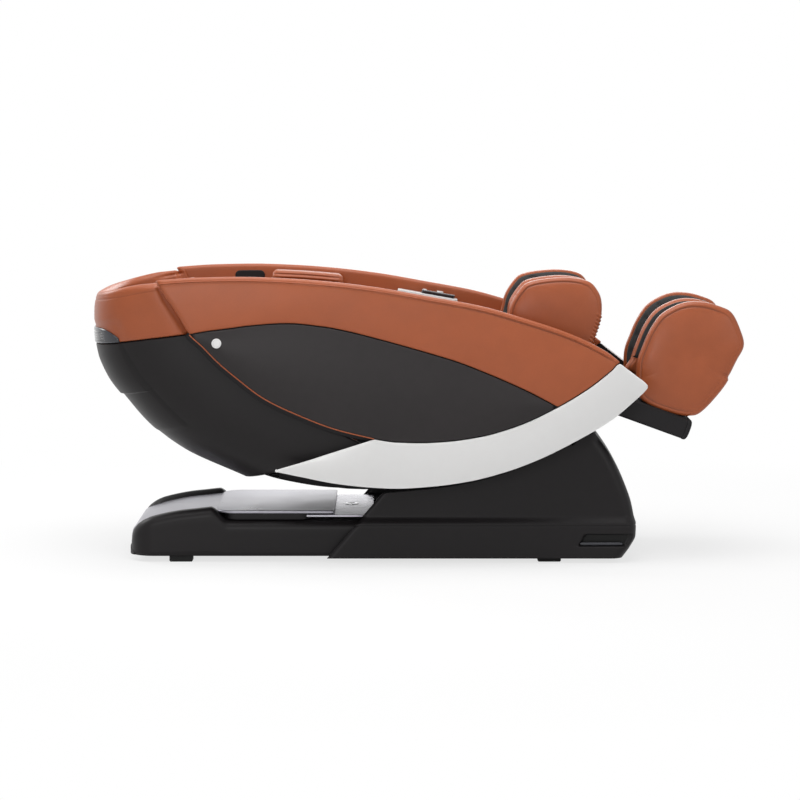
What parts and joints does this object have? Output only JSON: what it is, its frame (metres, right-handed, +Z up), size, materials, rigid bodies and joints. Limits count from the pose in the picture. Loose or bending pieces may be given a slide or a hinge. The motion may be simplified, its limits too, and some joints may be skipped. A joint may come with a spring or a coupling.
{
  "type": "zero gravity massage chair",
  "caption": "Reclined zero gravity massage chair: leather pod on a gliding base, with jointed backrest, legrest and foot unit, massage rollers and a hand control.",
  "frame": {"origin": "middle of the bounding box's underside, on the floor", "axes": "+X towards the sitter's feet, +Y towards the sitter's left, +Z up"},
  "size_m": [1.9011, 0.8, 0.842],
  "materials": {
    "tan_leather": "satin",
    "black_lining": "matte",
    "gloss_black": "gloss",
    "satin_black": "satin",
    "gloss_grey": "gloss",
    "dark_plastic": "matte",
    "silver_paint": "satin",
    "silver_plate": "satin",
    "frame_steel": "satin",
    "black_rubber": "matte",
    "white_cap": "satin"
  },
  "bodies": {
    "base": {"base_frame": "frame_steel", "base_rear_cover": "satin_black", "base_top_plate": "silver_plate", "rear_foot_left": "black_rubber", "rear_foot_right": "black_rubber", "front_foot_left": "black_rubber", "front_foot_right": "black_rubber", "power_inlet": "dark_plastic"},
    "wheel_left": {"transport_wheel_left": "black_rubber"},
    "wheel_right": {"transport_wheel_right": "black_rubber"},
    "switch": {"power_switch": "gloss_black"},
    "carriage": {"carriage_frame": "frame_steel", "front_shroud": "satin_black", "slide_plate": "silver_plate", "tilt_pin": "frame_steel", "tilt_motor": "dark_plastic"},
    "pod": {"seat_frame": "frame_steel", "side_carcass_left": "dark_plastic", "side_carcass_right": "dark_plastic", "arm_band_left": "tan_leather", "arm_band_right": "tan_leather", "side_panel_left": "gloss_black", "side_panel_right": "gloss_black", "side_blade_left": "silver_paint", "side_blade_right": "silver_paint", "side_cap_left": "white_cap", "side_cap_right": "white_cap", "arm_pad_left": "tan_leather", "arm_pad_right": "tan_leather", "shoulder_pad_left": "tan_leather", "shoulder_pad_right": "tan_leather", "seat_cushion": "tan_leather", "pod_belly": "dark_plastic", "control_tray": "silver_paint"},
    "hand_control": {"remote": "gloss_black"},
    "control_key": {"remote_key": "silver_paint"},
    "backrest": {"head_band": "tan_leather", "back_shell": "satin_black", "back_vent": "gloss_grey", "back_frame": "frame_steel", "back_cushion": "tan_leather", "head_pillow": "tan_leather"},
    "massage_unit": {"massage_carriage": "dark_plastic"},
    "roller_left": {"massage_roller_left": "black_rubber"},
    "roller_right": {"massage_roller_right": "black_rubber"},
    "legrest": {"legrest_frame": "dark_plastic", "calf_bed": "black_lining", "calf_wing_left": "tan_leather", "calf_wing_right": "tan_leather", "calf_divider": "tan_leather", "guide_rod_left": "frame_steel", "guide_rod_right": "frame_steel"},
    "foot_unit": {"foot_bed": "black_lining", "foot_wing_left": "tan_leather", "foot_wing_right": "tan_leather", "foot_divider": "tan_leather"},
    "sole_roller_left": {"foot_roller_left": "black_rubber"},
    "sole_roller_right": {"foot_roller_right": "black_rubber"}
  },
  "joints": [
    {"name": "wheel_left_spin", "type": "hinge", "parent": "base", "child": "wheel_left", "pos_m": [-0.785, 0.1916, 0.044], "axis": [0, 1, 0], "continuous": true},
    {"name": "wheel_right_spin", "type": "hinge", "parent": "base", "child": "wheel_right", "pos_m": [-0.785, -0.1916, 0.044], "axis": [0, 1, 0], "continuous": true},
    {"name": "switch_rock", "type": "hinge", "parent": "base", "child": "switch", "pos_m": [-0.638, 0.2563, 0.085], "axis": [1, 0, 0], "range_deg": [-8, 8]},
    {"name": "carriage_glide", "type": "slide", "parent": "base", "child": "carriage", "axis": [1, 0, 0], "range_m": [-0.14, 0]},
    {"name": "seat_tilt", "type": "hinge", "parent": "carriage", "child": "pod", "pos_m": [0.31, 0, 0.15], "axis": [0, 1, 0], "range_deg": [0, 20]},
    {"name": "remote_tilt", "type": "hinge", "parent": "pod", "child": "hand_control", "pos_m": [0.01744, 0.333, 0.76013], "axis": [0, 1, 0], "range_deg": [-45, 0]},
    {"name": "key_press", "type": "slide", "parent": "hand_control", "child": "control_key", "axis": [-0.1756, 0, -0.9845], "range_m": [0, 0.002], "stiffness_N_per_m": 300},
    {"name": "back_recline", "type": "hinge", "parent": "pod", "child": "backrest", "pos_m": [-0.064, 0, 0.4], "axis": [0, 1, 0], "range_deg": [0, 18]},
    {"name": "massage_travel", "type": "slide", "parent": "backrest", "child": "massage_unit", "axis": [0.8151, 0, -0.5793], "range_m": [-0.22, 0.22]},
    {"name": "roller_left_spin", "type": "hinge", "parent": "massage_unit", "child": "roller_left", "pos_m": [-0.49883, 0.047, 0.45993], "axis": [0, 1, 0], "continuous": true},
    {"name": "roller_right_spin", "type": "hinge", "parent": "massage_unit", "child": "roller_right", "pos_m": [-0.49883, -0.047, 0.45993], "axis": [0, 1, 0], "continuous": true},
    {"name": "legrest_swing", "type": "hinge", "parent": "pod", "child": "legrest", "pos_m": [0.42, 0, 0.523], "axis": [0, 1, 0], "range_deg": [-12, 20]},
    {"name": "foot_slide", "type": "slide", "parent": "legrest", "child": "foot_unit", "axis": [0.9397, 0, -0.342], "range_m": [-0.1, 0]},
    {"name": "sole_roller_left_spin", "type": "hinge", "parent": "foot_unit", "child": "sole_roller_left", "pos_m": [0.73885, 0.115, 0.52188], "axis": [0, 1, 0], "continuous": true},
    {"name": "sole_roller_right_spin", "type": "hinge", "parent": "foot_unit", "child": "sole_roller_right", "pos_m": [0.73885, -0.115, 0.52188], "axis": [0, 1, 0], "continuous": true}
  ],
  "couplings": [
    {"joint": "carriage_glide", "follows": "seat_tilt", "m_per_rad": -0.401}
  ]
}
